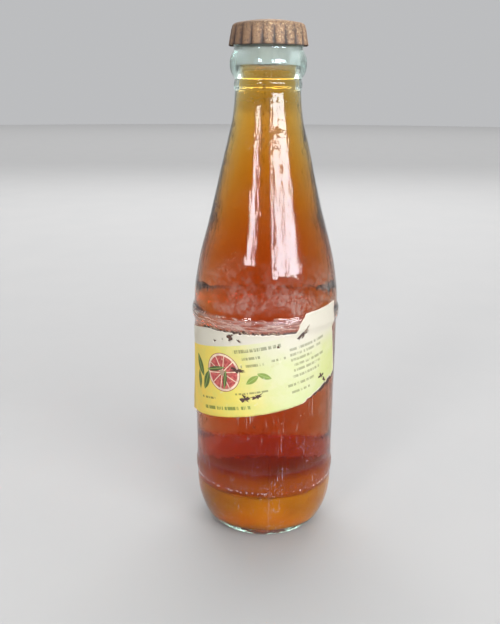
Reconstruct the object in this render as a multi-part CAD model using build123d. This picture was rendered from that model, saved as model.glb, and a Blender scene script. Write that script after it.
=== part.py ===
from build123d import *
from math import cos, pi, radians, sin
import os

# A returnable glass bottle of fizzy orange drink, still closed by its crown cap, with a torn
# paper label. Millimetres, +Z up. The origin is on the bottle's axis, on the surface it stands
# on, and the label faces -Y. Profiles are half sections (radius, height), turned about Z.

# ---- bottle: driving dimensions ----
glass_height = 197.0         # bearing surface to sealing lip
body_radius = 28.75          # straight panel that takes the label
wall = 3.0                   # glass thickness in the panel
bearing_radius = 18.2        # outer edge of the flat ring that the bottle stands on
bearing_width = 2.0
push_up = 3.5                # rise of the base inside the bearing ring
base_thickness = 4.5
floor_radius = 20.5          # the inner floor falls to its edge, where the inner heel begins
floor_edge_height = 5.0
inner_heel_height = 20.0

heel_height = 21.0           # the heel is a quarter ellipse up to here
heel_ring_height = 27.0      # middle of the low contact ring above the heel
heel_ring_half = 3.6
heel_ring_radius = 29.25

shoulder_ring_height = 94.2  # middle of the contact ring above the label panel
shoulder_ring_half = 3.3
shoulder_ring_radius = 29.65

neck_radius = 12.3           # narrowest place, under the finish
neck_height = 176.8
bead_radius = 12.75          # small ring under the reinforcing bulge
bead_height = 178.8
bead_half = 1.8
bulge_radius = 14.2          # reinforcing bulge of the crown finish
bulge_bottom = 180.6
bulge_top = 190.3
finish_radius = 12.7         # between the bulge and the locking ring
locking_ring_radius = 13.3
locking_ring_height = 193.7
locking_ring_half = 1.6
lip_radius = 12.3
lip_rounding = 1.2

mouth_radius = 8.0           # standard crown finish bore
mouth_wall_bottom = 186.4    # the cylindrical bore runs from here up to the rounded lip
fill_height = 184.8          # level of the drink in the neck

# ---- label: driving dimensions, along the paper and up it from its lower left corner ----
paste_thickness = 0.06
paper_thickness = 0.12
label_length = 80.5
label_height = 36.0
label_tilt = radians(11.3)   # the label was glued crooked, rising to the right
label_corner = (-36.0, 50.9)  # its lower left corner: along the wall from its middle, height
label_turn = -12.0           # degrees about Z from -Y to the label's middle
tear_height = 91.0           # the top strip tore away where the paper met the shoulder ring
flap_start = 65.5            # the corner that survived above the tear begins here
flap_tear_width = 4.0        # how far its torn side slants
flap_lift = 0.12             # how far it stands off the shoulder ring
frayed_start = 60.0          # the lower right corner is frayed away from here
frayed_middle = (68.4, 2.7)
frayed_rise = 4.2            # at the label's right edge

# ---- crown cap: driving dimensions ----
tinplate = 0.28              # sheet thickness
crown_bulge = 1.2            # the top plate is blown up this much in its middle
cork_thickness = 2.3         # at the edge
cork_radius = 12.3
cork_chamfer = 0.6           # fall of the cork's slanted top edge
seal_gap = 0.05              # between the cork and the lip
crown_skirt_bottom = 191.8
crown_radius = 14.55         # over the crests of the flutes, at the rim
valley_radius = 13.82        # outside of the metal between two flutes, at the rim
valley_taper = 0.5           # less than that at the top of the skirt
crown_shoulder = 1.7         # rounding from the top plate to the skirt
flute_count = 21
flute_rim_radius = 1.8       # each flute is a slim cone, this large at the rim
flute_top_radius = 0.7

# ---- worked out ----
panel_bottom = heel_ring_height + heel_ring_half
panel_top = shoulder_ring_height - shoulder_ring_half
shoulder_start = shoulder_ring_height + shoulder_ring_half
inner_radius = body_radius - wall
cork_bottom = glass_height + seal_gap
cork_edge_top = cork_bottom + cork_thickness
crown_edge_top = cork_edge_top + tinplate
plate_radius = valley_radius - valley_taper - crown_shoulder


def turned(edges):
    """The solid that a closed half section makes, turned about Z."""
    return revolve(Plane.XZ * make_face(edges), Axis.Z)


def chain(*corners):
    """Straight edges from corner to corner."""
    return [Line(a, b) for a, b in zip(corners, corners[1:])]


def quarter_ellipse(start, end):
    """A quarter ellipse that leaves start level and reaches end upright."""
    return EllipticalCenterArc(
        (start[0], end[1]),
        end[0] - start[0],
        end[1] - start[1],
        start_angle=270,
        arc_size=90,
    )


def corner_rounding(centre, radius, side):
    """A quarter circle over the lip's edge, outwards (side 1) or inwards (side -1)."""
    reach = radius * sin(pi / 4)
    return ThreePointArc(
        (centre[0] + side * radius, centre[1]),
        (centre[0] + side * reach, centre[1] + reach),
        (centre[0], centre[1] + radius),
    )


# ---- the bottle's outside, from the base up ----
def bottle_outside():
    bearing_inner = (bearing_radius - bearing_width, 0)
    bearing_outer = (bearing_radius, 0)
    heel_top = (body_radius, heel_height)
    lip_centre = (lip_radius - lip_rounding, glass_height - lip_rounding)
    shoulder = Spline(
        (body_radius, shoulder_start),
        (27.9, 107.0),
        (26.1, 116.8),
        (22.7, 128.7),
        (18.0, 147.5),
        (15.0, 159.8),
        (neck_radius, neck_height),
        tangents=[(-0.03, 1), (-0.05, 1)],
    )
    edges = [
        TangentArc((0, push_up), bearing_inner, tangent=(1, 0)),
        Line(bearing_inner, bearing_outer),
        quarter_ellipse(bearing_outer, heel_top),
        Line(heel_top, (body_radius, heel_ring_height - heel_ring_half)),
        ThreePointArc(
            (body_radius, heel_ring_height - heel_ring_half),
            (heel_ring_radius, heel_ring_height),
            (body_radius, panel_bottom),
        ),
        Line((body_radius, panel_bottom), (body_radius, panel_top)),
        ThreePointArc(
            (body_radius, panel_top),
            (shoulder_ring_radius, shoulder_ring_height),
            (body_radius, shoulder_start),
        ),
        shoulder,
        Line((neck_radius, neck_height), (neck_radius, bead_height - bead_half)),
        ThreePointArc(
            (neck_radius, bead_height - bead_half),
            (bead_radius, bead_height),
            (neck_radius, bulge_bottom),
        ),
        ThreePointArc(
            (neck_radius, bulge_bottom),
            (bulge_radius, (bulge_bottom + bulge_top) / 2),
            (finish_radius, bulge_top),
        ),
        Line((finish_radius, bulge_top), (finish_radius, locking_ring_height - locking_ring_half)),
        ThreePointArc(
            (finish_radius, locking_ring_height - locking_ring_half),
            (locking_ring_radius, locking_ring_height),
            (lip_radius, lip_centre[1]),
        ),
        corner_rounding(lip_centre, lip_rounding, side=1),
        *chain((lip_centre[0], glass_height), (0, glass_height), (0, push_up)),
    ]
    return turned(edges)


# ---- the hollow inside the bottle, from the floor up through the mouth ----
def bottle_cavity():
    floor_middle = (0, push_up + base_thickness)
    floor_edge = (floor_radius, floor_edge_height)
    heel_top = (inner_radius, inner_heel_height)
    lip_centre = (mouth_radius + lip_rounding, glass_height - lip_rounding)
    shoulder = Spline(
        (inner_radius, shoulder_start),
        (24.9, 107.0),
        (23.0, 116.8),
        (19.5, 128.7),
        (14.8, 147.5),
        (11.7, 159.8),
        (8.8, neck_height),
        (mouth_radius, mouth_wall_bottom),
        tangents=[(0, 1), (0, 1)],
    )
    edges = [
        Spline(floor_middle, floor_edge, tangents=[(1, 0), (1, 0)]),
        quarter_ellipse(floor_edge, heel_top),
        Line(heel_top, (inner_radius, shoulder_start)),
        shoulder,
        Line((mouth_radius, mouth_wall_bottom), (mouth_radius, lip_centre[1])),
        corner_rounding(lip_centre, lip_rounding, side=-1),
        *chain((lip_centre[0], glass_height), (0, glass_height), floor_middle),
    ]
    return turned(edges)


def below(height):
    """A block that holds everything inside the bottle up to a height."""
    side = 4 * body_radius
    return Pos(0, 0, height / 2) * Box(side, side, height)


# ---- the label ----
# A point of the label is (along, up) from its lower left corner. It goes to a distance round
# the glass from the label's middle and a height, and from there to the flat front view that
# the label's outline is cut from.
def on_front_view(along, up):
    around = label_corner[0] + along * cos(label_tilt) - up * sin(label_tilt)
    height = label_corner[1] + along * sin(label_tilt) + up * cos(label_tilt)
    return body_radius * sin(around / body_radius), height


def tear_up(along):
    """How far up the label the torn top edge runs, to stay at one height on the bottle."""
    return (tear_height - label_corner[1] - along * sin(label_tilt)) / cos(label_tilt)


def label_edge(start, end):
    """A straight run on the paper, in (along, up), as it looks bent round the glass."""
    steps = 6
    points = [
        on_front_view(
            start[0] + (end[0] - start[0]) * i / steps,
            start[1] + (end[1] - start[1]) * i / steps,
        )
        for i in range(steps + 1)
    ]
    return Spline(*points)


def label_stencil(outline):
    """A thick stencil of an outline given in (along, up), as seen from the label's front."""
    edges = [label_edge(a, b) for a, b in zip(outline, outline[1:] + outline[:1])]
    return extrude(Plane.XZ * make_face(edges), 2 * body_radius)


def sleeve(inner, thickness):
    """A thin sleeve round the bottle that follows an outline of (radius, height) points."""
    outer = [(radius + thickness, height) for radius, height in reversed(inner)]
    return turned(chain(*inner, *outer, inner[0]))


# The tear starts where the paper's top edge climbs past the tear's height.
tear_start = (
    (tear_height - label_corner[1] - label_height * cos(label_tilt)) / sin(label_tilt)
)
lower_edge = [(0, 0), (frayed_start, 0), frayed_middle, (label_length, frayed_rise)]
upper_left = [(tear_start, label_height), (0, label_height)]


def label_paste():
    """The paste film reaches up to the shoulder ring, under the paper and under the tear."""
    glued = [(body_radius, panel_bottom), (body_radius, panel_top)]
    outline = lower_edge + [(label_length, tear_up(label_length))] + upper_left
    film = sleeve(glued, paste_thickness) & label_stencil(outline)
    return Rot(0, 0, label_turn) * film


def paper_label():
    """The paper lies on the paste, and its surviving corner stands straight over the ring."""
    glued_radius = body_radius + paste_thickness
    flap_radius = shoulder_ring_radius + flap_lift
    following = [
        (glued_radius, panel_bottom),
        (glued_radius, panel_top - 0.3),
        (flap_radius, shoulder_ring_height - 0.3 * shoulder_ring_half),
        (flap_radius, shoulder_ring_height + 3 * shoulder_ring_half),
    ]
    flap_foot = flap_start - flap_tear_width
    flap = [
        (label_length, label_height),
        (flap_start, label_height),
        (flap_foot, tear_up(flap_foot)),
    ]
    outline = lower_edge + flap + upper_left
    paper = sleeve(following, paper_thickness) & label_stencil(outline)
    return Rot(0, 0, label_turn) * paper


# ---- the crown cap ----
def crown_form(shrink):
    """The cap's outer form as a full solid, drawn in by shrink on every side."""
    top = crown_edge_top - shrink
    rounding = crown_shoulder - shrink
    skirt_top = (plate_radius + rounding, top - rounding)
    rim = (valley_radius - shrink, crown_skirt_bottom)
    plate_middle = (0, top + crown_bulge)
    form = turned([
        *chain(plate_middle, (0, crown_skirt_bottom), rim, skirt_top),
        corner_rounding((plate_radius, skirt_top[1]), rounding, side=1),
        TangentArc(plate_middle, (plate_radius, top), tangent=(1, 0)),
    ])
    return form + flutes(shrink, skirt_top[1])


def flutes(shrink, top):
    """The ring of pressed flutes: slim upright cones in the skirt that swell to the rim."""
    cone = Cone(
        flute_rim_radius - shrink,
        flute_top_radius - shrink,
        top - crown_skirt_bottom,
        align=(Align.CENTER, Align.CENTER, Align.MIN),
    )
    reach = crown_radius - flute_rim_radius
    return [
        Rot(0, 0, i * 360 / flute_count) * Pos(reach, 0, crown_skirt_bottom) * cone
        for i in range(flute_count)
    ]


def crown_shell():
    return crown_form(0) - crown_form(tinplate)


def cork_liner():
    """A disc that is flat on the lip and fills the bulged plate above."""
    middle = (0, cork_edge_top + crown_bulge)
    plate_edge = (plate_radius, cork_edge_top)
    return turned([
        *chain(middle, (0, cork_bottom), (cork_radius, cork_bottom)),
        *chain((cork_radius, cork_bottom), (cork_radius, cork_edge_top - cork_chamfer), plate_edge),
        TangentArc(middle, plate_edge, tangent=(1, 0)),
    ])


cavity = bottle_cavity()
parts = {
    "glass_bottle": bottle_outside() - cavity,
    "soda": cavity & below(fill_height),
    "label_paste": label_paste(),
    "label": paper_label(),
    "crown_shell": crown_shell(),
    "cork_liner": cork_liner(),
}

os.makedirs("parts", exist_ok=True)
for node, shape in parts.items():
    export_step(shape, f"parts/{node}.step")
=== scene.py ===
import math

import bmesh
import bpy
import numpy as np
from mathutils import Matrix, Vector, geometry, noise


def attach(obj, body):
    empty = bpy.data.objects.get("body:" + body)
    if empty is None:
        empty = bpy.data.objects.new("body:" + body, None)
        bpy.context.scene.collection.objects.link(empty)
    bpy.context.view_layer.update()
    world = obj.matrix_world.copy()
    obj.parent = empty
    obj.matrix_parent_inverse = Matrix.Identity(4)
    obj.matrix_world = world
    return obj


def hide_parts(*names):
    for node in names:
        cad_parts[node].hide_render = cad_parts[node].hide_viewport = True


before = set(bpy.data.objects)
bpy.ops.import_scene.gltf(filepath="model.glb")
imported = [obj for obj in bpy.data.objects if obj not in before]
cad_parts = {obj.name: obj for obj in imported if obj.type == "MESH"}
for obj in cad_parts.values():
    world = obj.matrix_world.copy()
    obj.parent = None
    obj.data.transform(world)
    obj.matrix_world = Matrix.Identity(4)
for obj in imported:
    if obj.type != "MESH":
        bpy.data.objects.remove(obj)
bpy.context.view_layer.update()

# The looks of a closed, returnable bottle of orange drink: lengths are in millimetres and turn
# into metres where a mesh is made. The label faces -Y.
MM = 0.001

# ---- measures repeated from the CAD model ----
body_radius = 28.75
ring_crest = 29.65            # the furthest that any glass may reach
heel_ring_height = 27.0
shoulder_ring_height = 94.2
glass_height = 197.0
fill_height = 184.8
label_length = 80.5
label_height = 36.0
label_tilt = math.radians(11.3)
label_corner = (-36.0, 50.9)
label_turn = math.radians(-12)
tear_height = 91.0
crown_skirt_bottom = 191.8
crown_radius = 14.55
skirt_top_radius = 13.32
crown_edge_top = 199.63
crown_bulge = 1.2
crown_shoulder = 1.7
tinplate = 0.28
flute_count = 21
cork_radius = 12.3
cork_bottom = 197.05
cork_thickness = 2.3


# ======== meshes ========
def piece(name, points, faces, materials, body, slot, replaced, **attributes):
    """A smooth mesh piece from points in millimetres, riding a body in place of a CAD node."""
    mesh = bpy.data.meshes.new(name)
    mesh.from_pydata([tuple(p) for p in np.asarray(points) * MM], [], faces)
    mesh.shade_smooth()
    for material in materials:
        mesh.materials.append(material)
    for key, values in attributes.items():
        mesh.attributes.new(key, "FLOAT", "POINT").data.foreach_set("value", values)
    made = bpy.data.objects.new(name, mesh)
    bpy.context.scene.collection.objects.link(made)
    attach(made, body)
    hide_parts(replaced)
    return made


def half_section(node):
    """The section (radius, height) of a turned CAD node, walked along its seam in the XZ plane."""
    mesh = bmesh.new()
    mesh.from_mesh(node.data)
    bmesh.ops.remove_doubles(mesh, verts=mesh.verts, dist=1e-6)
    beside = {}
    for edge in mesh.edges:
        if all(abs(v.co.y) < 1e-6 and v.co.x > -1e-6 for v in edge.verts):
            a, b = edge.verts
            beside.setdefault(a, []).append(b)
            beside.setdefault(b, []).append(a)
    here = min(beside, key=lambda v: (round(v.co.x, 5), v.co.z))
    left = set(beside)
    walk = []
    while left:
        walk.append((here.co.x / MM, here.co.z / MM))
        left.discard(here)
        near = [v for v in beside[here] if v in left] or left
        here = min(near, key=lambda v: (v.co - here.co).length, default=None)
    mesh.free()
    return np.array(walk)


def smooth_section(points, coarse=2.0, turn=0.13, blur=0.35):
    """A section from axis to axis made smooth, with its points closer where it bends more."""
    # Long straight runs get points of their own, so that the curve through them stays straight.
    longest_run = 12
    filled = [points[0]]
    for a, b in zip(points, points[1:]):
        parts = max(1, round(np.linalg.norm(b - a) / longest_run))
        filled += [a + (b - a) * i / parts for i in range(1, parts + 1)]
    filled = np.array(filled)
    # The section goes on past the axis on the other side, so that it crosses the axis level.
    flip = np.array([-1, 1])
    before = filled[3:0:-1] * flip
    after = filled[-2:-5:-1] * flip
    line = np.vstack([before, filled, after])
    # Akima's rule for the directions keeps straight runs straight.
    at = np.concatenate([[0], np.cumsum(np.linalg.norm(np.diff(line, axis=0), axis=1))])
    slopes = np.diff(line, axis=0) / np.diff(at)[:, None]
    change = np.linalg.norm(np.diff(slopes, axis=0), axis=1)
    forward = (change[2:] + 1e-9)[:, None]
    backward = (change[:-2] + 1e-9)[:, None]
    heading = (forward * slopes[1:-2] + backward * slopes[2:-1]) / (forward + backward)
    line = line[2:-2]
    at = at[2:-2]
    step = 0.1
    fine = np.arange(at[1], at[-2], step)
    k = np.clip(np.searchsorted(at, fine, side="right") - 1, 0, len(at) - 2)
    span = (at[k + 1] - at[k])[:, None]
    t = (fine - at[k])[:, None] / span
    curve = (
        (1 + 2 * t) * (1 - t) ** 2 * line[k]
        + t * (1 - t) ** 2 * span * heading[k]
        + t**2 * (3 - 2 * t) * line[k + 1]
        - t**2 * (1 - t) * span * heading[k + 1]
    )
    # A light blur rounds the corners as fire-polished glass does.
    reach = int(4 * blur / step)
    kernel = np.exp(-0.5 * (np.arange(-reach, reach + 1) * step / blur) ** 2)
    kernel /= kernel.sum()
    padded = np.vstack([curve[reach:0:-1] * flip, curve, curve[-2:-reach - 2:-1] * flip])
    curve = np.column_stack([np.convolve(padded[:, i], kernel, "valid") for i in (0, 1)])
    curve[0, 0] = 0
    curve[-1, 0] = 0
    tangent = np.gradient(curve, axis=0)
    bend = np.abs(np.gradient(np.unwrap(np.arctan2(tangent[:, 1], tangent[:, 0]))))
    effort = np.concatenate([[0], np.cumsum(step / coarse + bend[1:] / turn)])
    wanted = np.linspace(0, effort[-1], int(effort[-1]))
    return np.column_stack([np.interp(wanted, effort, curve[:, i]) for i in (0, 1)])


def section_normals(section):
    """The unit normals of a section that runs from the underside outwards and up."""
    tangent = np.gradient(section, axis=0)
    normal = np.column_stack([tangent[:, 1], -tangent[:, 0]])
    return normal / np.linalg.norm(normal, axis=1)[:, None]


def turned(section, angles, shift):
    """Points and faces of a section turned about Z, moved along its normal by shift(angle, height)."""
    middle = section[1:-1]
    normal = section_normals(section)[1:-1]
    angle, height = np.meshgrid(angles, middle[:, 1])
    moved = shift(angle, height)
    radius = np.minimum(middle[:, :1] + normal[:, :1] * moved, ring_crest - 0.01)
    height = np.maximum(height + normal[:, 1:] * moved, 0)
    ring = np.stack([radius * np.sin(angle), -radius * np.cos(angle), height], axis=-1)
    rows, columns = angle.shape
    points = [(0, 0, section[0, 1]), (0, 0, section[-1, 1]), *ring.reshape(-1, 3)]
    faces = []
    for j in range(columns):
        k = (j + 1) % columns
        faces.append((0, 2 + k, 2 + j))
        last = 2 + (rows - 1) * columns
        faces.append((1, last + j, last + k))
        for i in range(rows - 1):
            low = 2 + i * columns
            high = low + columns
            faces.append((low + j, low + k, high + k, high + j))
    return points, faces


def ripples(seed, shortest, longest, most_around, count=28):
    """A smooth uneven ripple over (angle, height) between -1 and 1."""
    draw = np.random.default_rng(seed)
    around = draw.integers(0, most_around + 1, count)
    upward = 2 * np.pi / draw.uniform(shortest, longest, count) * draw.choice([-1, 1], count)
    phase = draw.uniform(0, 2 * np.pi, count)

    def at(angle, height):
        total = sum(np.cos(a * angle + u * height + p) for a, u, p in zip(around, upward, phase))
        return np.tanh(total / math.sqrt(2 * count))

    return at


# ======== node materials ========
class Nodes:
    """The node tree of one material. Each method adds a node and gives its output."""

    def __init__(self, name, **values):
        self.material = bpy.data.materials.new(name)
        self.material.use_nodes = True
        self.tree = self.material.node_tree
        self.tree.nodes.clear()
        self.output = self.tree.nodes.new("ShaderNodeOutputMaterial")
        self.shader = self.tree.nodes.new("ShaderNodeBsdfPrincipled")
        self.tree.links.new(self.shader.outputs[0], self.output.inputs["Surface"])
        for socket, value in values.items():
            self.set(socket.replace("_", " ").title().replace("Ior", "IOR"), value)

    def put(self, target, value):
        """Links an output to an input, or sets the input to a plain value."""
        if isinstance(value, bpy.types.NodeSocket):
            self.tree.links.new(value, target)
        elif target.type == "RGBA" and len(value) == 3:
            target.default_value = (*value, 1)
        else:
            target.default_value = value

    def set(self, socket, value):
        self.put(self.shader.inputs[socket], value)

    def node(self, kind, *inputs, **settings):
        made = self.tree.nodes.new("ShaderNode" + kind)
        for key, value in settings.items():
            setattr(made, key, value)
        for target, value in zip(made.inputs, inputs):
            if value is not None:
                self.put(target, value)
        return made

    def place(self, scale=(1, 1, 1)):
        """The point on the piece in millimetres, stretched by scale."""
        where = self.node("TexCoord").outputs["Object"]
        return self.node("VectorMath", where, tuple(s / MM for s in scale),
                         operation="MULTIPLY").outputs[0]

    def maths(self, operation, a, b=0.0):
        return self.node("Math", a, b, operation=operation).outputs[0]

    def plus(self, *terms):
        total = terms[0]
        for term in terms[1:]:
            total = self.maths("ADD", total, term)
        return total

    def times(self, *terms):
        total = terms[0]
        for term in terms[1:]:
            total = self.maths("MULTIPLY", total, term)
        return total

    def most(self, *terms):
        total = terms[0]
        for term in terms[1:]:
            total = self.maths("MAXIMUM", total, term)
        return total

    def ramp(self, value, low, high, out_low=0.0, out_high=1.0):
        """Goes smoothly from out_low to out_high while value goes from low to high."""
        return self.node("MapRange", value, low, high, out_low, out_high,
                         interpolation_type="SMOOTHSTEP").outputs[0]

    def noise(self, where, size, detail=4.0, rough=0.55, warp=0.0):
        """Noise from 0 to 1 whose largest features are about size millimetres."""
        made = self.node("TexNoise")
        self.put(made.inputs["Vector"], where)
        made.inputs["Scale"].default_value = 1 / size
        made.inputs["Detail"].default_value = detail
        made.inputs["Roughness"].default_value = rough
        made.inputs["Distortion"].default_value = warp
        return made.outputs["Fac"]

    def cells(self, where, size, feature="F1"):
        """The distance to the nearest of some scattered points, about size millimetres apart."""
        made = self.node("TexVoronoi", feature=feature)
        self.put(made.inputs["Vector"], where)
        made.inputs["Scale"].default_value = 1 / size
        return made.outputs["Distance"]

    def mix(self, factor, a, b):
        """Colour a where factor is 0 and b where it is 1."""
        made = self.tree.nodes.new("ShaderNodeMix")
        made.data_type = "RGBA"
        self.put(made.inputs[0], factor)
        self.put(made.inputs[6], a)
        self.put(made.inputs[7], b)
        return made.outputs[2]

    def bump(self, height, distance, below=None):
        """A normal from a height from 0 to 1, where 1 stands distance millimetres up."""
        made = self.node("Bump")
        made.inputs["Strength"].default_value = 1.0
        made.inputs["Distance"].default_value = distance * MM
        self.put(made.inputs["Height"], height)
        if below is not None:
            self.put(made.inputs["Normal"], below)
        return made.outputs[0]

    def absorb(self, colour, density):
        """Light that goes through the inside of the piece is coloured by its way there."""
        made = self.tree.nodes.new("ShaderNodeVolumeAbsorption")
        made.inputs["Color"].default_value = (*colour, 1)
        made.inputs["Density"].default_value = density
        self.tree.links.new(made.outputs[0], self.output.inputs["Volume"])


def srgb(red, green, blue):
    """A colour from 0 to 255 as it looks on a screen, as the linear colour that Blender mixes."""
    return tuple(
        c / 12.92 if c <= 0.04045 else ((c + 0.055) / 1.055) ** 2.4
        for c in (red / 255, green / 255, blue / 255)
    )


# ---- glass: pale green, with scuffed rings, dust and fine scratches ----
def glass_material():
    n = Nodes("glass", transmission_weight=1.0, ior=1.5)
    where = n.place()
    split = n.node("SeparateXYZ", where)
    up = split.outputs[2]
    behind = n.ramp(split.outputs[1], 0, 15)
    grain = n.noise(where, 1.3, detail=6, rough=0.7)
    patches = n.noise(where, 9, detail=4)
    streaks = n.noise(n.place((1, 1, 0.12)), 1.2, detail=3)
    rubs = n.noise(n.place((0.22, 0.22, 2.2)), 1.5, detail=5, rough=0.7)

    def around_ring(middle, half):
        off = n.maths("ABSOLUTE", n.maths("SUBTRACT", up, middle))
        return n.ramp(off, half, 0.25 * half)

    # Bottles that knock together scuff each other's rings, and crates scuff the foot. The glints are
    # painted highlights: pale dots along the lower edge of the heel ring and the top of the shoulder
    # ring.
    outside = n.node("Attribute", attribute_name="outside").outputs["Fac"]
    band = n.times(around_ring(shoulder_ring_height, 3.0), n.ramp(rubs, 0.36, 0.62),
                   n.ramp(behind, 0, 1, 1, 0.35))
    painted_glints = n.times(
        n.most(around_ring(heel_ring_height - 2.6, 0.9), around_ring(shoulder_ring_height + 2.4, 0.7)),
        n.ramp(grain, 0.52, 0.60),
    )
    foot = n.times(n.ramp(up, 1.2, 0.2), n.ramp(grain, 0.42, 0.58))
    heel_band = n.times(around_ring(heel_ring_height, 2.2), n.ramp(grain, 0.5, 0.7), 0.25)
    seam = n.times(n.node("Attribute", attribute_name="seam").outputs["Fac"], n.ramp(up, 34, 20),
                   n.ramp(grain, 0.40, 0.55), 0.4)
    # wear, together with the painted glints
    wear_and_highlight = n.times(outside, n.most(band, painted_glints, foot, heel_band, seam))

    # Specks of dust, upright scratches, and a dusty film that is thickest on the shoulder, where its pale
    # patches are also painted reflections.
    specks = n.times(n.ramp(n.noise(where, 0.5, detail=2), 0.65, 0.71), n.ramp(patches, 0.45, 0.62))
    lines = n.noise(n.place((1, 1, 0.04)), 0.5, detail=2)
    scratches = n.times(n.ramp(lines, 0.62, 0.69), n.ramp(patches, 0.46, 0.6), n.ramp(up, 92, 60), 0.6)
    dust = n.most(specks, scratches)
    shoulder_dust_and_painted_reflection = n.times(n.ramp(up, 97, 99), n.ramp(up, 122, 102), n.ramp(patches, 0.38, 0.66),
                          n.ramp(grain, 0.36, 0.66), 0.22)
    film_and_painted_reflection = n.most(n.times(n.ramp(streaks, 0.55, 0.85), 0.02), shoulder_dust_and_painted_reflection)

    # Above the drink, the inner wall is misted.
    wetted = n.node("Attribute", attribute_name="wetted").outputs["Fac"]
    misted = n.times(n.maths("SUBTRACT", 1.0, n.most(outside, wetted)), n.ramp(up, 183, 185))
    # The pale colour and the lost clearness carry dust, wear and mist, and also the painted glints and
    # painted reflections.
    dirt_and_painted_highlights = n.most(n.times(outside, n.most(n.times(wear_and_highlight, 0.42), n.times(dust, 0.6), film_and_painted_reflection)),
                  n.times(misted, 0.3))
    dirt_and_highlight_colour = n.mix(misted, srgb(214, 180, 144), srgb(146, 126, 92))
    n.set("Base Color", n.mix(dirt_and_painted_highlights, (0.97, 0.985, 0.975), dirt_and_highlight_colour))
    n.set("Transmission Weight", n.maths("SUBTRACT", 1.0, dirt_and_painted_highlights))
    n.set("Roughness", n.plus(n.times(wear_and_highlight, 0.35), n.times(film_and_painted_reflection, 0.6), n.times(misted, 0.22), 0.012))

    # The skin has broad ripples and fine upright cords, as blown glass does.
    ripple = n.noise(where, 5, detail=2)
    cords = n.noise(n.place((1, 1, 0.2)), 3.2, detail=3, warp=0.4)
    skin = n.bump(n.plus(n.times(ripple, 0.6), cords, n.times(grain, 0.01)), 0.2)
    n.set("Normal", n.bump(wear_and_highlight, 0.05, below=skin))
    # The glass mirrors less than bare glass does, so that the pale studio doesn't grey the drink.
    # Where the drink wets the wall, the two are so alike that almost nothing is mirrored.
    n.set("Specular Tint", n.mix(wetted, (0.38, 0.38, 0.38), (0.04, 0.04, 0.04)))
    n.absorb((0.42, 0.80, 0.68), 25.0)
    return n.material


# ---- the drink: clear amber, with a cloud of settled pulp at the bottom ----
def soda_material():
    n = Nodes("orange_soda_liquid", ior=1.33, roughness=0.0, specular_tint=(0.0, 0.0, 0.0))
    where = n.place()
    up = n.node("SeparateXYZ", where).outputs[2]
    drift = n.noise(n.place((0.6, 0.6, 1)), 9, detail=4)
    out = n.node("VectorMath", where, (1, 1, 0), operation="MULTIPLY").outputs[0]
    radius = n.node("VectorMath", out, operation="LENGTH").outputs["Value"]
    settled = n.times(n.ramp(n.plus(up, n.times(drift, 3.0)), 25.0, 21.0), n.ramp(radius, 15, 20))
    haze = n.times(n.ramp(up, 35, 26), 0.2)
    clear = (1.0, 1.0, 1.0)
    hazy_orange = (0.85, 0.16, 0.0)
    pulp = n.mix(n.ramp(drift, 0.35, 0.65), (0.56, 0.17, 0.002), (0.64, 0.22, 0.003))
    cloud = n.mix(settled, hazy_orange, pulp)
    n.set("Base Color", n.mix(n.ramp(n.most(settled, haze), 0.0, 0.08), clear, cloud))
    n.set("Transmission Weight", n.maths("SUBTRACT", 1.0, n.most(n.times(settled, 0.5), haze)))
    n.absorb((0.936, 0.690, 0.0), 175.0)
    return n.material


# ---- the printed label, painted in (along, up) millimetres from its lower left corner ----
slice_middle = (28.9, 18.3)
slice_radius = 7.8
field_top = 28.7              # the coloured field ends here, under the pale border
small_print = [
    # start, end, up, height of the bars
    (35.5, 54.0, 26.3, 1.5),
    (38.0, 45.5, 23.2, 1.2),
    (37.5, 46.5, 20.3, 1.2),
    (49.5, 55.0, 20.9, 1.1),
    (57.0, 73.0, 23.4, 1.2),
    (57.0, 71.0, 21.3, 1.2),
    (57.0, 66.0, 19.2, 1.2),
    (58.0, 72.0, 17.0, 1.2),
    (57.5, 70.0, 14.8, 1.2),
    (56.5, 69.0, 12.4, 1.2),
    (54.0, 66.0, 9.2, 1.2),
    (54.5, 63.0, 6.2, 1.1),
    (14.5, 23.0, 7.6, 1.0),
    (32.0, 46.0, 9.4, 0.9),
]
bold_print = (15.5, 38.0, 3.6, 1.5)
dark_green = srgb(52, 92, 40)
light_green = srgb(122, 150, 52)
leaves = [
    # middle, half length, half width, turn in degrees, colour
    ((15.6, 20.6), 5.0, 2.1, 112, dark_green),
    ((19.2, 14.8), 4.8, 1.8, 58, dark_green),
    ((13.6, 14.6), 4.2, 1.5, 84, dark_green),
    ((25.6, 19.8), 5.2, 1.0, 6, dark_green),
    ((29.6, 15.4), 4.2, 0.9, 74, dark_green),
    ((41.0, 14.6), 3.2, 1.25, 28, light_green),
    ((45.8, 15.4), 3.0, 1.2, 150, light_green),
]


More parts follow.
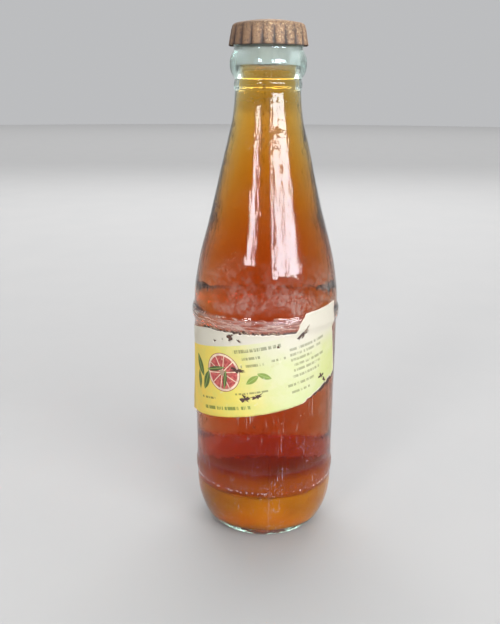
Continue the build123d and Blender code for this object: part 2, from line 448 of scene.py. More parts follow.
def paper_material():
    n = Nodes("printed_paper_front", specular_ior_level=0.35)
    flat = n.node("UVMap", uv_map="label").outputs[0]
    split = n.node("SeparateXYZ", flat)
    along = n.times(split.outputs[0], label_length)
    up = n.times(split.outputs[1], label_length)
    on_paper = n.node("CombineXYZ", along, up, 0.0).outputs[0]
    blotches = n.noise(on_paper, 14, detail=4)
    fibres = n.noise(on_paper, 0.8, detail=5, rough=0.7)
    wear = n.noise(on_paper, 3.2, detail=5, rough=0.65)

    # the yellow field fades to pale green towards the right, with a bleached middle; the paleness on the
    # right is print fade and also painted highlight
    field = n.mix(n.ramp(along, 8, 34), srgb(242, 206, 88), srgb(232, 214, 100))
    field = n.mix(n.ramp(n.plus(along, n.times(blotches, 16), n.times(up, 0.3)), 40, 66), field,
                  srgb(212, 214, 170))
    right = n.times(n.ramp(along, 62, 74), n.ramp(blotches, 0.40, 0.6))
    field = n.mix(n.times(right, 0.5), field, srgb(200, 208, 112))
    mottled = n.ramp(n.noise(on_paper, 5.5, detail=5, rough=0.6), 0.42, 0.62)
    field = n.mix(n.times(mottled, 0.26), field, srgb(196, 208, 116))
    low = n.times(n.ramp(up, 9, 0), n.ramp(along, 20, 60), 0.55)
    field = n.mix(low, field, srgb(198, 210, 140))
    uneven_up = n.plus(up, n.times(n.maths("SUBTRACT", wear, 0.5), 0.5))
    border = n.ramp(uneven_up, field_top - 0.2, field_top + 0.2)
    # print fade and painted highlight: pale bare paper at the upper right
    fade_and_painted_highlight = n.times(n.ramp(n.plus(along, n.times(blotches, 12)), 40, 70), n.ramp(up, 16, 27))
    # painted shade: the bare paper greys towards the left end, which turns away from the light
    painted_left_shade = n.times(n.ramp(along, 22, 6), n.ramp(blotches, 0.4, 0.6))
    bare_paper = n.mix(painted_left_shade, srgb(214, 208, 192), srgb(196, 186, 164))
    colour = n.mix(n.most(border, fade_and_painted_highlight), field, bare_paper)

    # rows of plain bars stand for the small print, fainter towards the right
    def bars(start, end, middle, tall, seed):
        row = n.ramp(n.maths("ABSOLUTE", n.maths("SUBTRACT", up, middle)), tall / 2,
                     tall / 2 - 0.15)
        run = n.times(n.ramp(along, start - 0.2, start), n.ramp(along, end + 0.2, end))
        row_of_its_own = n.node("CombineXYZ", along, seed * 7.3, 0.0).outputs[0]
        gaps = n.ramp(n.noise(row_of_its_own, 0.9, detail=1), 0.42, 0.48)
        return n.times(row, run, gaps)

    faint = [n.times(bars(*row, seed), 0.8 - 0.005 * row[0]) for seed, row in enumerate(small_print)]
    ink = n.times(n.most(*faint), n.ramp(wear, 0.3, 0.5))
    colour = n.mix(ink, colour, srgb(88, 92, 50))
    bold = n.times(bars(*bold_print, 40), n.ramp(wear, 0.3, 0.5))
    colour = n.mix(n.times(bold, 0.75), colour, srgb(70, 105, 40))

    # a slice of citrus fruit: rind, pith and segments
    from_middle = n.node("VectorMath", on_paper, (*slice_middle, 0), operation="SUBTRACT").outputs[0]
    far = n.node("VectorMath", from_middle, operation="LENGTH").outputs["Value"]
    parts = n.node("SeparateXYZ", from_middle)
    turn = n.maths("ARCTAN2", parts.outputs[1], parts.outputs[0])
    segments = 10
    off_wall = n.times(n.maths("ABSOLUTE", n.maths("SINE", n.times(turn, segments / 2))), far)
    rind = 1.1
    flesh = n.times(n.ramp(far, slice_radius - rind + 0.2, slice_radius - rind - 0.2),
                    n.ramp(off_wall, 0.6, 1.2), n.ramp(far, 0.7, 1.2))
    juice = n.noise(on_paper, 1.1, detail=3, warp=0.6)
    pulp = n.mix(n.ramp(juice, 0.35, 0.65), srgb(170, 56, 62), srgb(214, 108, 100))
    fruit = n.mix(flesh, srgb(246, 222, 196), pulp)
    fruit = n.mix(n.times(n.ramp(far, 1.5, 0.9), 0.6), fruit, srgb(120, 110, 70))
    fruit = n.mix(n.ramp(far, slice_radius - 0.35, slice_radius - 0.15), fruit, srgb(150, 52, 40))
    fruit = n.mix(n.times(n.ramp(wear, 0.42, 0.62), 0.35), fruit, srgb(150, 84, 62))
    colour = n.mix(n.ramp(far, slice_radius + 0.1, slice_radius - 0.1), colour, fruit)

    # leaves
    for middle, half_long, half_wide, degrees, tone in leaves:
        off = n.node("VectorMath", on_paper, (*middle, 0), operation="SUBTRACT").outputs[0]
        spun = n.node("VectorRotate", off, rotation_type="Z_AXIS")
        spun.inputs["Angle"].default_value = -math.radians(degrees)
        parts = n.node("SeparateXYZ", spun.outputs[0])
        lengthways = n.maths("DIVIDE", parts.outputs[0], half_long)
        room = n.times(n.maths("SUBTRACT", 1.0, n.times(lengthways, lengthways)), half_wide)
        across = n.maths("ABSOLUTE", parts.outputs[1])
        leaf = n.ramp(n.maths("SUBTRACT", room, across), -0.05, 0.15)
        vein = n.ramp(across, 0.05, 0.22)
        colour = n.mix(n.times(leaf, 0.92), colour, n.mix(vein, srgb(150, 175, 90), tone))

    # ageing: rubbed print, brown stains, white fibres along the tears
    rubbed = n.times(n.ramp(wear, 0.62, 0.75), 0.55)
    colour = n.mix(rubbed, colour, srgb(226, 222, 200))
    stains = n.times(n.ramp(n.noise(on_paper, 6, detail=6, rough=0.7), 0.60, 0.78), 0.25)
    colour = n.mix(stains, colour, srgb(176, 148, 98))
    grime = n.times(n.ramp(along, 5, 0), 0.35)
    colour = n.mix(grime, colour, srgb(150, 122, 96))
    torn = n.node("Attribute", attribute_name="torn").outputs["Fac"]
    frayed = n.ramp(n.plus(torn, n.times(n.maths("SUBTRACT", fibres, 0.5), 0.9)), 0.45, 0.75)
    colour = n.mix(frayed, colour, srgb(236, 226, 212))
    n.set("Base Color", colour)
    n.set("Roughness", n.ramp(frayed, 0, 1, 0.62, 0.9))
    n.set("Normal", n.bump(n.plus(fibres, n.times(wear, 1.2), frayed), 0.05))
    return n.material


# ---- the backs of the paper and of the paste, stained by the paste ----
def backing_material():
    n = Nodes("stained_backing", roughness=0.9)
    where = n.place()
    blotches = n.noise(where, 7, detail=5)
    fibres = n.noise(where, 0.7, detail=4)
    n.set("Base Color", n.mix(n.ramp(blotches, 0.35, 0.7), srgb(214, 196, 158), srgb(170, 140, 96)))
    n.set("Normal", n.bump(fibres, 0.04))
    return n.material


# ---- dried paste: dark brown, crazed, with rests of paper ----
def paste_material():
    n = Nodes("dried_paste_film")
    where = n.place()
    crust = n.noise(where, 1.1, detail=6, rough=0.7)
    crazed = n.cells(where, 0.9, feature="DISTANCE_TO_EDGE")
    up = n.node("SeparateXYZ", where).outputs[2]
    rests = n.times(n.ramp(crust, 0.52, 0.62), n.ramp(up, 89.6, 90.4))
    colour = n.mix(n.ramp(crust, 0.3, 0.7), srgb(48, 24, 14), srgb(96, 56, 34))
    colour = n.mix(rests, colour, srgb(196, 176, 150))
    n.set("Base Color", colour)
    n.set("Roughness", n.ramp(crust, 0.3, 0.7, 0.55, 0.85))
    n.set("Normal", n.bump(n.plus(crust, n.ramp(crazed, 0, 0.12)), 0.05))
    return n.material


# ---- rusty tinplate: worn and with painted highlight on the crests, dirty and with painted shade in the grooves, pitted mostly on one side, painted shade on the left side and along the rim ----
def rust_material():
    n = Nodes("rusty_tinplate_crown")
    where = n.place()
    broad = n.noise(where, 8, detail=5, rough=0.6)
    grain = n.noise(where, 1.0, detail=6, rough=0.75)
    speckle = n.ramp(n.noise(where, 0.7, detail=4, rough=0.65), 0.51, 0.64)
    pits = n.ramp(n.cells(where, 0.8), 0.28, 0.05)
    crest = n.node("Attribute", attribute_name="crest").outputs["Fac"]
    split = n.node("SeparateXYZ", where)
    right = split.outputs[0]
    up = split.outputs[2]
    pitted = n.ramp(n.plus(right, n.times(broad, 8)), -5, 7, 0.15, 0.9)
    rust = n.mix(n.ramp(broad, 0.35, 0.65), srgb(94, 64, 43), srgb(142, 102, 72))
    # crests lighter: wear, and painted highlight that makes the flutes stand out
    wear_and_highlight = n.times(n.ramp(n.plus(crest, n.times(grain, 0.6)), 0.9, 1.35), 0.4)
    rust = n.mix(wear_and_highlight, rust, srgb(188, 152, 112))
    rust = n.mix(n.times(speckle, n.ramp(grain, 0.4, 0.55), pitted, 0.9), rust, srgb(228, 196, 150))
    rust = n.mix(n.times(n.ramp(grain, 0.48, 0.38), 0.6), rust, srgb(70, 46, 32))
    # grooves darker: dirt, and painted shade that deepens the flutes
    rust = n.mix(n.times(n.ramp(crest, 0.9, 0.3), 0.9), rust, srgb(42, 27, 20))
    # painted shade: the left side (-X) is darker, as if turned from the light
    rust = n.mix(n.times(n.ramp(right, 0, -12), 0.4), rust, srgb(66, 40, 27))
    # painted shadow: a dark band along the bottom edge of the skirt, broken up by the grain
    rim = n.times(n.ramp(up, crown_skirt_bottom + 0.8, crown_skirt_bottom + 0.1),
                  n.ramp(grain, 0.35, 0.55), 0.7)
    rust = n.mix(rim, rust, srgb(44, 30, 24))
    bare = n.times(n.ramp(grain, 0.62, 0.7), n.ramp(broad, 0.5, 0.65), 0.5)
    n.set("Base Color", rust)
    n.set("Metallic", bare)
    n.set("Roughness", n.ramp(grain, 0.3, 0.7, 0.62, 0.9))
    skin = n.bump(grain, 0.16)
    n.set("Normal", n.bump(pits, -0.12, below=skin))
    return n.material


# ---- cork: packed granules ----
def cork_material():
    n = Nodes("cork_granules", roughness=0.85)
    where = n.place()
    granule = 1.3
    granules = n.node("TexVoronoi")
    n.put(granules.inputs["Vector"], where)
    granules.inputs["Scale"].default_value = 1 / granule
    tone = n.node("SeparateColor", granules.outputs["Color"]).outputs[0]
    edges = n.cells(where, granule, feature="DISTANCE_TO_EDGE")
    pores = n.noise(where, 0.35, detail=3)
    colour = n.mix(tone, srgb(150, 106, 66), srgb(204, 164, 112))
    colour = n.mix(n.ramp(edges, 0.08, 0.0), colour, srgb(92, 58, 36))
    colour = n.mix(n.times(n.ramp(pores, 0.58, 0.7), 0.6), colour, srgb(84, 52, 34))
    n.set("Base Color", colour)
    n.set("Normal", n.bump(n.plus(n.ramp(edges, 0, 0.1), pores), 0.08))
    return n.material


def floor_material():
    n = Nodes("pale_floor", roughness=1.0, specular_ior_level=0.0)
    n.set("Base Color", n.mix(n.noise(n.place(), 60, detail=3), (0.50, 0.50, 0.50), (0.53, 0.525, 0.52)))
    return n.material


# ======== the glass ========
seams = [math.radians(4.5), math.radians(184.5)]
seam_height = 0.18
seam_half_angle = math.radians(0.6)
outer_sway_depth = 0.07
outer_dimple_depth = 0.012
inner_sway_depth = 0.12       # the mould shapes only the outside, so the inside is more uneven
inner_dimple_depth = 0.02
angles = np.sort(np.concatenate(
    [np.linspace(0, 2 * np.pi, 228, endpoint=False)]
    + [seam + seam_half_angle * np.array([-1, -0.5, 0, 0.5, 1]) for seam in seams]
))
section = smooth_section(half_section(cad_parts["glass_bottle"]))
rim = int(np.argmax(section[:, 1]))       # the lip divides the outside from the inside
outer_sway = ripples(3, 14, 60, 5)
outer_dimple = ripples(4, 4, 12, 12)
inner_sway = ripples(5, 16, 70, 4)
inner_dimple = ripples(6, 6, 16, 9)


def seam_ridge(angle):
    """The raised line where the two halves of the mould met."""
    off = np.min([np.abs(np.angle(np.exp(1j * (angle - seam)))) for seam in seams], axis=0)
    return seam_height * np.clip(1 - off / seam_half_angle, 0, 1)


def outer_shift(angle, height):
    """How far the outside stands out; only the seams stand out past the mould's shape."""
    sway = outer_sway_depth * (outer_sway(angle, height) - 1)
    dimple = outer_dimple_depth * (outer_dimple(angle, height) - 1)
    fade = np.clip(height / 4, 0, 1) * np.clip((glass_height - 4 - height) / 8, 0, 1)
    return (sway + dimple) * fade + seam_ridge(angle) * fade


def inner_shift(angle, height):
    """How far the inner wall stands into the bottle."""
    sway = inner_sway_depth * inner_sway(angle, height)
    dimple = inner_dimple_depth * inner_dimple(angle, height)
    fade = np.clip((height - 12) / 10, 0, 1) * np.clip((glass_height - 12 - height) / 8, 0, 1)
    return (sway + dimple) * fade


def glass_shift(angle, height):
    shift = outer_shift(angle, height)
    inside = slice(rim - 1, None)         # the turned rows leave out the two poles
    shift[inside] = inner_shift(angle[inside], height[inside])
    return shift


def seeds_in_the_wall(count=44):
    """Small drawn-out bubbles inside the glass, as points and faces that look into themselves."""
    draw = np.random.default_rng(11)
    ball = bmesh.new()
    bmesh.ops.create_icosphere(ball, subdivisions=2, radius=1)
    sphere = np.array([v.co[:] for v in ball.verts])
    sides = [[v.index for v in reversed(f.verts)] for f in ball.faces]
    ball.free()
    points = []
    faces = []
    for _ in range(count):
        height = draw.uniform(12, 172)
        angle = draw.uniform(0, 2 * np.pi)
        size = draw.uniform(0.12, 0.3)
        outer = np.interp(height, section[:rim, 1], section[:rim, 0])
        inner = np.interp(height, section[:rim:-1, 1], section[:rim:-1, 0])
        radius = (outer + inner) / 2 + draw.uniform(-0.6, 0.6)
        drawn = sphere * (size, size, size * draw.uniform(1.2, 3))
        middle = (radius * math.sin(angle), -radius * math.cos(angle), height)
        faces += [[len(points) + i for i in side] for side in sides]
        points += list(drawn + middle)
    return points, faces


# The two poles come first in the points, then the rows from the underside over the lip inwards.
points, faces = turned(section, angles, glass_shift)
rows = np.repeat(np.arange(1, len(section) - 1), len(angles))
outside = np.concatenate([[1, 0], rows < rim])
wetted = np.concatenate([[0, 1], (rows > rim) & (section[rows, 1] < fill_height)])
bubbles, bubble_faces = seeds_in_the_wall()
faces += [[len(points) + i for i in face] for face in bubble_faces]
points += bubbles
in_bubbles = np.zeros(len(bubbles))
seam_line = np.concatenate([[0, 0], np.tile(seam_ridge(angles) / seam_height, len(section) - 2)])
piece("blown_glass_bottle", points, faces, [glass_material()], "bottle", "bottle_glass",
      "glass_bottle", outside=np.append(outside, in_bubbles), wetted=np.append(wetted, in_bubbles),
      seam=np.append(seam_line, in_bubbles))

# ======== the drink ========
wetting = 0.06                # the drink's surface lies this far inside the glass wall
meniscus_rise = 1.0
meniscus_reach = 0.64         # in this distance from the wall it falls to about a third


def drink_section():
    """Up the inner wall from the floor's middle to the level, then in along the meniscus."""
    wall = section[:rim:-1]
    wall = wall[wall[:, 1] < fill_height + meniscus_rise]
    edge = wall[-1, 0]
    from_wall = (0.1, 0.25, 0.45, 0.7, 1.0, 1.5, 2.2, 3.2, 4.6, 6.2)
    surface = [
        (edge - r, fill_height + meniscus_rise * math.exp(-r / meniscus_reach))
        for r in from_wall
    ]
    return np.vstack([wall, surface, [(0, fill_height)]])


def drink_shift(angle, height):
    return wetting - inner_shift(angle, height)


drink_angles = np.linspace(0, 2 * np.pi, 200, endpoint=False)
points, faces = turned(drink_section(), drink_angles, drink_shift)
piece("orange_drink", points, faces, [soda_material()], "bottle", "orange_soda", "soda")

# ======== the label ========
torn_run = 0.45               # a torn edge has a point this often
grid = 0.9                    # spacing of the points inside the paper
paste_lift = 0.02
paste_thickness = 0.04
paper_lift = 0.07
paper_thickness = 0.12


def tear_up(along):
    """How far up the label the torn top edge runs, to stay at one height on the bottle."""
    return (tear_height - label_corner[1] - along * math.sin(label_tilt)) / math.cos(label_tilt)


def ragged(start, end, depth, seed):
    """Points from start to end along a torn edge that wanders by up to depth either way."""
    start = np.array(start, float)
    end = np.array(end, float)
    run = end - start
    length = np.linalg.norm(run)
    side = np.array([-run[1], run[0]]) / length
    count = max(1, round(length / (torn_run if depth else 2.0)))
    points = []
    for i in range(count):
        spot = start + run * i / count
        wander = noise.fractal(Vector((*spot * 0.55, seed)), 0.5, 2.2, 5) * 2
        edge = min(1, 3 * i / count, 3 * (count - i) / count)
        points.append(spot + side * wander * depth * edge)
    return points


def blob(middle, half_long, half_wide, degrees, seed):
    """An irregular small hole."""
    count = max(12, round(9 * (half_long + half_wide)))
    turn = math.radians(degrees)
    points = []
    for i in range(count):
        a = 2 * math.pi * i / count
        rough = 1 + 1.1 * noise.fractal(Vector((1.8 * math.cos(a), 1.8 * math.sin(a), seed)), 0.4, 2.3, 4)
        x = half_long * rough * math.cos(a)
        y = half_wide * rough * math.sin(a)
        points.append(np.array(middle) + (
            x * math.cos(turn) - y * math.sin(turn),
            x * math.sin(turn) + y * math.cos(turn),
        ))
    return points


holes = [
    # middle, half length, half width, turn in degrees
    ((35.1, 32.3), 1.6, 1.1, 70),
    ((27.5, 30.9), 0.8, 0.45, -35),
    ((31.6, 31.6), 0.3, 0.2, 10),
    ((38.7, 30.5), 0.9, 0.4, -20),
    ((52.8, 25.8), 0.65, 0.6, 0),
    ((35.4, 18.9), 2.6, 0.75, -14),
    ((36.6, 7.4), 1.8, 1.3, -60),
    ((41.2, 7.6), 1.8, 0.75, 10),
    ((63.6, 28.0), 3.0, 0.75, 38),
    ((69.9, 7.2), 1.3, 1.0, 20),
    ((71.3, 4.9), 1.9, 0.55, -65),
]


def paper_outline():
    """The paper's edge anticlockwise from its lower left corner, with the tears as (points, torn)."""
    top = tear_height - label_corner[1] - label_height * math.cos(label_tilt)
    tear_start = top / math.sin(label_tilt)
    runs = [
        # start, end, depth of the tear
        ((0, 0), (59, 0), 0.0),
        ((59, 0), (63.5, 1.6), 0.35),
        ((63.5, 1.6), (69.4, 3.0), 0.45),
        ((69.4, 3.0), (label_length, 4.2), 0.5),
        ((label_length, 4.2), (label_length, 35.4), 0.12),
        ((label_length, 35.4), (65.6, label_height), 0.15),
        ((65.6, label_height), (62.2, 32.2), 0.3),
        ((62.2, 32.2), (60.6, tear_up(60.6) + 0.4), 0.3),
        ((60.6, tear_up(60.6) + 0.4), (tear_start, label_height), 0.32),
        ((tear_start, label_height), (0, label_height), 0.05),
        ((0, label_height), (0, 0), 0.08),
    ]
    edge = []
    torn = []
    for seed, (start, end, depth) in enumerate(runs):
        points = ragged(start, end, depth, seed)
        edge += points
        if depth > 0.1:
            torn += points
    return edge, torn


def inside(points, outline):
    """Which points lie inside a closed outline."""
    x, y = points[:, 0], points[:, 1]
    within = np.zeros(len(points), bool)
    for a, b in zip(outline, outline[1:] + outline[:1]):
        crosses = (a[1] > y) != (b[1] > y)
        rise = b[1] - a[1]
        reach = (b[0] - a[0]) * (y - a[1]) / (rise if rise else 1) + a[0]
        within ^= crosses & (x < reach)
    return within


def triangulated(edge, openings, spacing, seed):
    """A flat sheet with holes as points, triangles and its outlines."""
    low = np.min(edge, axis=0)
    high = np.max(edge, axis=0)
    draw = np.random.default_rng(seed)
    xs, ys = np.meshgrid(np.arange(low[0], high[0], spacing), np.arange(low[1], high[1], spacing))
    inner = np.column_stack([xs.ravel(), ys.ravel()])
    inner += draw.uniform(-0.2, 0.2, inner.shape) * spacing
    loops = [edge] + openings
    corners = [Vector(p) for loop in loops for p in loop]
    edges = []
    start = 0
    for loop in loops:
        edges += [(start + i, start + (i + 1) % len(loop)) for i in range(len(loop))]
        start += len(loop)
    kept = inside(inner, edge)
    for opening in openings:
        kept &= ~inside(inner, opening)
    outline = np.array([p for loop in loops for p in loop])
    gap = np.min(np.linalg.norm(inner[:, None] - outline[None], axis=2), axis=1)
    kept &= gap > 0.3 * spacing
    corners += [Vector(p) for p in inner[kept]]
    flat, _, triangles, _, _, _ = geometry.delaunay_2d_cdt(corners, edges, [], 0, 1e-5)
    flat = np.array([p[:] for p in flat])
    triangles = np.array([t for t in triangles if len(t) == 3])
    centres = flat[triangles].mean(axis=1)
    kept = inside(centres, edge)
    for opening in openings:
        kept &= ~inside(centres, opening)
    return flat, triangles[kept]


def glass_radius(height):
    return np.interp(height, section[:rim, 1], section[:rim, 0])


def on_bottle(flat, radius_at):
    """Label points as points in space, at the radius that radius_at gives for a height."""
    along, up = flat[:, 0], flat[:, 1]
    around = label_corner[0] + along * math.cos(label_tilt) - up * math.sin(label_tilt)
    height = label_corner[1] + along * math.sin(label_tilt) + up * math.cos(label_tilt)
    angle = label_turn + around / body_radius
    radius = radius_at(height)
    return np.column_stack([radius * np.sin(angle), -radius * np.cos(angle), height])


def sheet(name, flat, triangles, radius_at, lift, thickness, materials, slot, replaced, torn=None):
    """A thin curved sheet with a front, a back and an edge, and label coordinates as its UVs.

    The second material is the back's. A torn attribute marks the points near the torn points."""
    front = on_bottle(flat, lambda height: radius_at(height) + lift + thickness)
    back = on_bottle(flat, lambda height: radius_at(height) + lift)
    count = len(flat)
    faces = [tuple(t) for t in triangles]
    sides = dict.fromkeys(pair for a, b, c in faces for pair in ((a, b), (b, c), (c, a)))
    rim_edges = [pair for pair in sides if pair[::-1] not in sides]
    faces += [tuple(count + i for i in reversed(t)) for t in triangles]
    faces += [(b, a, count + a, count + b) for a, b in rim_edges]
    made = piece(name, np.vstack([front, back]), faces, materials, "bottle", slot, replaced)
    both = np.vstack([flat, flat]) / label_length
    layer = made.data.uv_layers.new(name="label")
    corners = np.empty(len(made.data.loops), int)
    made.data.loops.foreach_get("vertex_index", corners)
    layer.data.foreach_set("uv", both[corners].ravel())
    for face in made.data.polygons[len(triangles):2 * len(triangles)]:
        face.material_index = 1
    if torn is not None:
        near = np.min(np.linalg.norm(flat[:, None] - np.array(torn)[None], axis=2), axis=1)
        attribute = made.data.attributes.new("torn", "FLOAT", "POINT")
        attribute.data.foreach_set("value", np.tile(np.exp(-near / 0.45), 2))
    return made


def paper_radius(height):
    """Over the glass in the panel, and straight up from the shoulder ring's crest."""
    low = shoulder_ring_height - 4.4
    high = shoulder_ring_height - 0.8
    t = np.clip((height - low) / (high - low), 0, 1)
    over_ring = ring_crest + 0.05
    return body_radius + (over_ring - body_radius) * t * t * (3 - 2 * t)


def paper_lift_at(flat):
    """Wrinkles, and the left end coming off the glass."""
    along, up = flat[:, 0], flat[:, 1]
    wrinkles = np.array([noise.noise(Vector((x * 0.16, y * 0.3, 2.0))) for x, y in flat])
    wrinkles = 0.10 * np.clip(wrinkles, 0, 1)
    end = np.clip(1 - along / 3.5, 0, 1) ** 2 * (0.35 + 0.4 * np.clip(1 - up / 14, 0, 1))
    curl = np.clip((up - 29) / 7, 0, 1) ** 2 * np.clip((along - 62) / 6, 0, 1) * 0.5
    return paper_lift + wrinkles + end + curl


backing = backing_material()
edge, torn = paper_outline()
openings = [blob(*hole, seed) for seed, hole in enumerate(holes)]
flat, triangles = triangulated(edge, openings, grid, 21)
sheet("paper_label", flat, triangles, paper_radius, paper_lift_at(flat), paper_thickness,
      [paper_material(), backing], "printed_paper", "label", torn)

# the paste shows in the holes, and as a crust along the tear
crust_top = 1.3               # how far the crust reaches above the tear
paste_edge = (
    ragged((0.8, 0.6), (59, 0.6), 0.1, 31)
    + ragged((59, 0.6), (69.4, 1.2), 0.6, 32)
    + ragged((69.4, 1.2), (79.6, 2.8), 0.6, 33)
    + ragged((79.6, 2.8), (79.6, tear_up(79.6) - 1), 0.1, 34)
    + ragged((79.6, tear_up(79.6) - 1), (62, tear_up(62) + crust_top), 0.3, 35)
    + ragged((62, tear_up(62) + crust_top), (24, tear_up(24) + 0.6 * crust_top), 0.5, 36)
    + ragged((24, tear_up(24) + 0.6 * crust_top), (16, 35.2), 0.3, 37)
    + ragged((16, 35.2), (0.8, 35.2), 0.05, 38)
    + ragged((0.8, 35.2), (0.8, 0.6), 0.05, 39)
)
flat, triangles = triangulated(paste_edge, [], 1.2, 22)
sheet("paste_film", flat, triangles, glass_radius, paste_lift, paste_thickness,
      [paste_material(), backing], "dried_paste", "label_paste")


# ======== the crown cap ========
steps_per_flute = 20
groove = 0.6                  # under 1, the crests are wide and the grooves narrow
rim_groove_depth = 0.93
top_groove_depth = 0.18
skirt_top_crest = 13.46


def crown_rows(shrink):
    """Rows from the plate's middle to the rim as (crest radius, height, groove depth)."""
    corner = skirt_top_radius - crown_shoulder
    bend = crown_shoulder - shrink
    edge = crown_edge_top - shrink
    rows = [(r, edge + crown_bulge * (1 - (r / corner) ** 2), 0.0)
            for r in np.linspace(1.2, corner - 0.6, 10)]
    for a in np.linspace(0.15, math.pi / 2, 7):
        depth = top_groove_depth * (a / math.pi * 2) ** 2
        rows.append((corner + bend * math.sin(a), edge - bend * (1 - math.cos(a)), depth))
    start = edge - bend
    bottom = crown_skirt_bottom + 0.14
    for t in np.linspace(0, 1, 13)[1:]:
        crest = skirt_top_crest + (crown_radius - skirt_top_crest) * t - shrink
        depth = top_groove_depth + (rim_groove_depth - top_groove_depth) * t**1.2
        rows.append((crest, start + (bottom - start) * t, depth))
    return rows


def crown_points(rows, angle):
    """The rows turned about Z, with grooves between the flutes and small dents, and how far
    each point is from a groove."""
    points = []
    crests = []
    for radius, height, depth in rows:
        share = depth / rim_groove_depth
        for a in angle:
            crest = abs(math.cos(flute_count * a / 2)) ** groove
            flat = Vector((radius * math.cos(a), radius * math.sin(a), height))
            number = round(flute_count * a / (2 * math.pi)) % flute_count
            uneven = 0.5 + 0.5 * noise.noise(Vector((number * 3.7, 0.5, 0.5)))
            dent = 0.07 * (noise.noise(flat * 0.35) - 1) * min(1, radius / 5)
            r = radius - depth * (1 - crest) * (1 - 0.5 * uneven) + dent
            lift = 0.14 * share * (1 + noise.noise(Vector((3 * math.cos(a), 3 * math.sin(a), 9))))
            sag = 0.06 * (noise.noise(flat * 0.22) - 1) * (1 - share)
            points.append((r * math.sin(a), -r * math.cos(a), height + lift + sag))
            crests.append(1 - share**0.5 * (1 - crest))
    return points, crests


def crown():
    """The pressed sheet: its outside, its rolled rim and its inside."""
    angle = np.linspace(0, 2 * np.pi, flute_count * steps_per_flute, endpoint=False)
    outside = crown_rows(0)
    inside_rows = crown_rows(tinplate)[::-1]
    edge_radius = outside[-1][0] - tinplate / 2
    fold = [(edge_radius, crown_skirt_bottom, 1.0)]
    rows = outside + fold + inside_rows
    points, crests = crown_points(rows, angle)
    columns = len(angle)
    faces = []
    for i in range(len(rows) - 1):
        for j in range(columns):
            k = (j + 1) % columns
            low = i * columns
            high = low + columns
            faces.append((low + j, high + j, high + k, low + k))
    last = (len(rows) - 1) * columns
    top = np.mean(points[:columns], axis=0)
    under = np.mean(points[last:], axis=0)
    points += [tuple(top), tuple(under)]
    crests += [1, 1]
    for j in range(columns):
        k = (j + 1) % columns
        faces.append((len(points) - 2, j, k))
        faces.append((len(points) - 1, last + k, last + j))
    return points, faces, crests


points, faces, crests = crown()
piece("crown_cap", points, faces, [rust_material()], "cap", "rusty_tinplate", "crown_shell",
      crest=crests)


# ======== the cork disc ========
def cork_section():
    """A disc with the ring that the bottle's lip has pressed into its underside."""
    under = [
        (r, cork_bottom + 0.12 * math.exp(-((r - 10.1) / 0.9) ** 2))
        for r in np.linspace(0, cork_radius - 0.3, 30)
    ]
    side = [(cork_radius, cork_bottom + 0.35), (cork_radius, cork_bottom + 0.9)]
    plate = skirt_top_radius - crown_shoulder
    upper = [
        (r, cork_bottom + cork_thickness - 0.1 + crown_bulge * (1 - (r / plate) ** 2))
        for r in (plate, 10.5, 9.0, 7.0, 5.0, 3.0, 1.5, 0.0)
    ]
    return np.array(under + side + upper)


def cork_shift(angle, height):
    crumbs = [
        noise.noise(Vector((9 * math.cos(a), 9 * math.sin(a), h * 0.8)))
        for a, h in zip(angle.ravel(), height.ravel())
    ]
    return 0.08 * (np.array(crumbs).reshape(angle.shape) - 1)


points, faces = turned(cork_section(), np.linspace(0, 2 * np.pi, 120, endpoint=False), cork_shift)
piece("cork_disc", points, faces, [cork_material()], "cap", "cork", "cork_liner")


# ======== the studio ========
daylight = (0.80, 0.92, 1.0)
pane_distance = 1100
fill_distance = 1600


def floor():
    radius = 4000
    rim_points = [
        (radius * math.cos(a), radius * math.sin(a), 0)
        for a in np.linspace(0, 2 * math.pi, 96, endpoint=False)
    ]
    mesh = bpy.data.meshes.new("studio_floor")
    mesh.from_pydata([tuple(c * MM for c in p) for p in rim_points], [], [range(len(rim_points))])
    mesh.materials.append(floor_material())
    made = bpy.data.objects.new("studio_floor", mesh)
    bpy.context.scene.collection.objects.link(made)


def softbox(name, azimuth, elevation, distance, width, height, power,
            colour=(1, 1, 1), lights=True, mirrored=True):
    """An area light that looks at the bottle. Azimuth 0 is where the label faces, 90 is +X.

    With lights off it only shows as a reflection, and with mirrored off it only lights."""
    data = bpy.data.lights.new(name, "AREA")
    data.shape = "RECTANGLE"
    data.size = width * MM
    data.size_y = height * MM
    data.energy = power
    data.color = colour
    made = bpy.data.objects.new(name, data)
    a = math.radians(azimuth)
    e = math.radians(elevation)
    aim = Vector((0, 0, 0.1))
    away = Vector((math.sin(a) * math.cos(e), -math.cos(a) * math.cos(e), math.sin(e)))
    made.location = aim + away * distance * MM
    made.rotation_euler = away.to_track_quat("Z", "Y").to_euler()
    made.visible_camera = False
    made.visible_diffuse = lights
    made.visible_glossy = mirrored
    made.visible_transmission = mirrored
    bpy.context.scene.collection.objects.link(made)


floor()
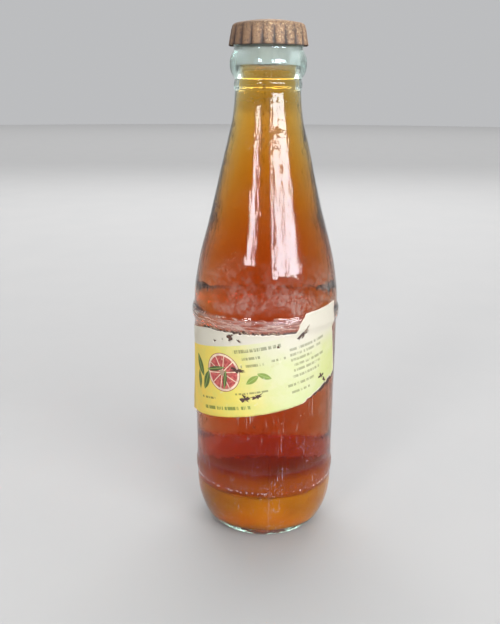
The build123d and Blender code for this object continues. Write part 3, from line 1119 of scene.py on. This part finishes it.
# The bright window panes are only mirrored, and dimmer lights behind them light the label.
# The numbers are azimuth, elevation, distance, width, height and power in watts.
softbox("left_pane", -29, 19.5, pane_distance, 230, 270, 9, daylight, lights=False)
softbox("middle_pane", 24.5, 17, pane_distance, 340, 360, 19, daylight, lights=False)
softbox("right_pane", 47, 17, pane_distance, 380, 360, 21, daylight, lights=False)
softbox("left_fill", -29, 20, fill_distance, 330, 620, 7.2, mirrored=False)
softbox("right_fill", 36, 20, fill_distance, 1190, 620, 21, mirrored=False)
# Two lights behind brighten the floor that is seen through the drink.
softbox("rear", 180, 36, 1300, 1400, 700, 6.5)
softbox("backdrop", 180, 46, 4000, 5000, 3000, 70)


def studio_world():
    """Pale all round: as bright as the floor at the horizon, brighter overhead, darker in front."""
    world = bpy.data.worlds.new("studio")
    world.use_nodes = True
    tree = world.node_tree
    background = tree.nodes["Background"]
    where = tree.nodes.new("ShaderNodeTexCoord")
    parts = tree.nodes.new("ShaderNodeSeparateXYZ")
    tree.links.new(where.outputs["Generated"], parts.inputs[0])

    def ramp(axis, low, high, out_low, out_high):
        made = tree.nodes.new("ShaderNodeMapRange")
        made.interpolation_type = "SMOOTHSTEP"
        for target, value in zip(made.inputs[1:5], (low, high, out_low, out_high)):
            target.default_value = value
        tree.links.new(parts.outputs[axis], made.inputs["Value"])
        return made.outputs[0]

    strength = tree.nodes.new("ShaderNodeMath")
    strength.operation = "MULTIPLY"
    tree.links.new(ramp("Z", 0.1, 0.6, 0.52, 0.85), strength.inputs[0])
    tree.links.new(ramp("Y", -0.6, 0.6, 0.42, 1.0), strength.inputs[1])
    tree.links.new(strength.outputs[0], background.inputs["Strength"])
    background.inputs["Color"].default_value = (0.97, 0.98, 1.0, 1)
    bpy.context.scene.world = world


studio_world()
bpy.context.scene.view_settings.view_transform = "Standard"

# ======== the camera ========
camera_away = 0.296           # metres in front of the bottle's axis
camera_height = 0.17705
look_down = 19.6              # degrees
lens = bpy.data.cameras.new("camera")
lens.sensor_width = 36
lens.lens = 43.64
lens.shift_y = 0.0753
lens.clip_start = 0.01
camera = bpy.data.objects.new("camera", lens)
bpy.context.scene.collection.objects.link(camera)
bpy.context.scene.camera = camera
pitch = math.radians(90 - look_down)
yaw = math.radians(1.2)
roll = math.radians(0.25)
aimed = Matrix.Rotation(yaw, 4, "Z") @ Matrix.Rotation(pitch, 4, "X") @ Matrix.Rotation(roll, 4, "Z")
camera.matrix_world = Matrix.Translation((0, -camera_away, camera_height)) @ aimed
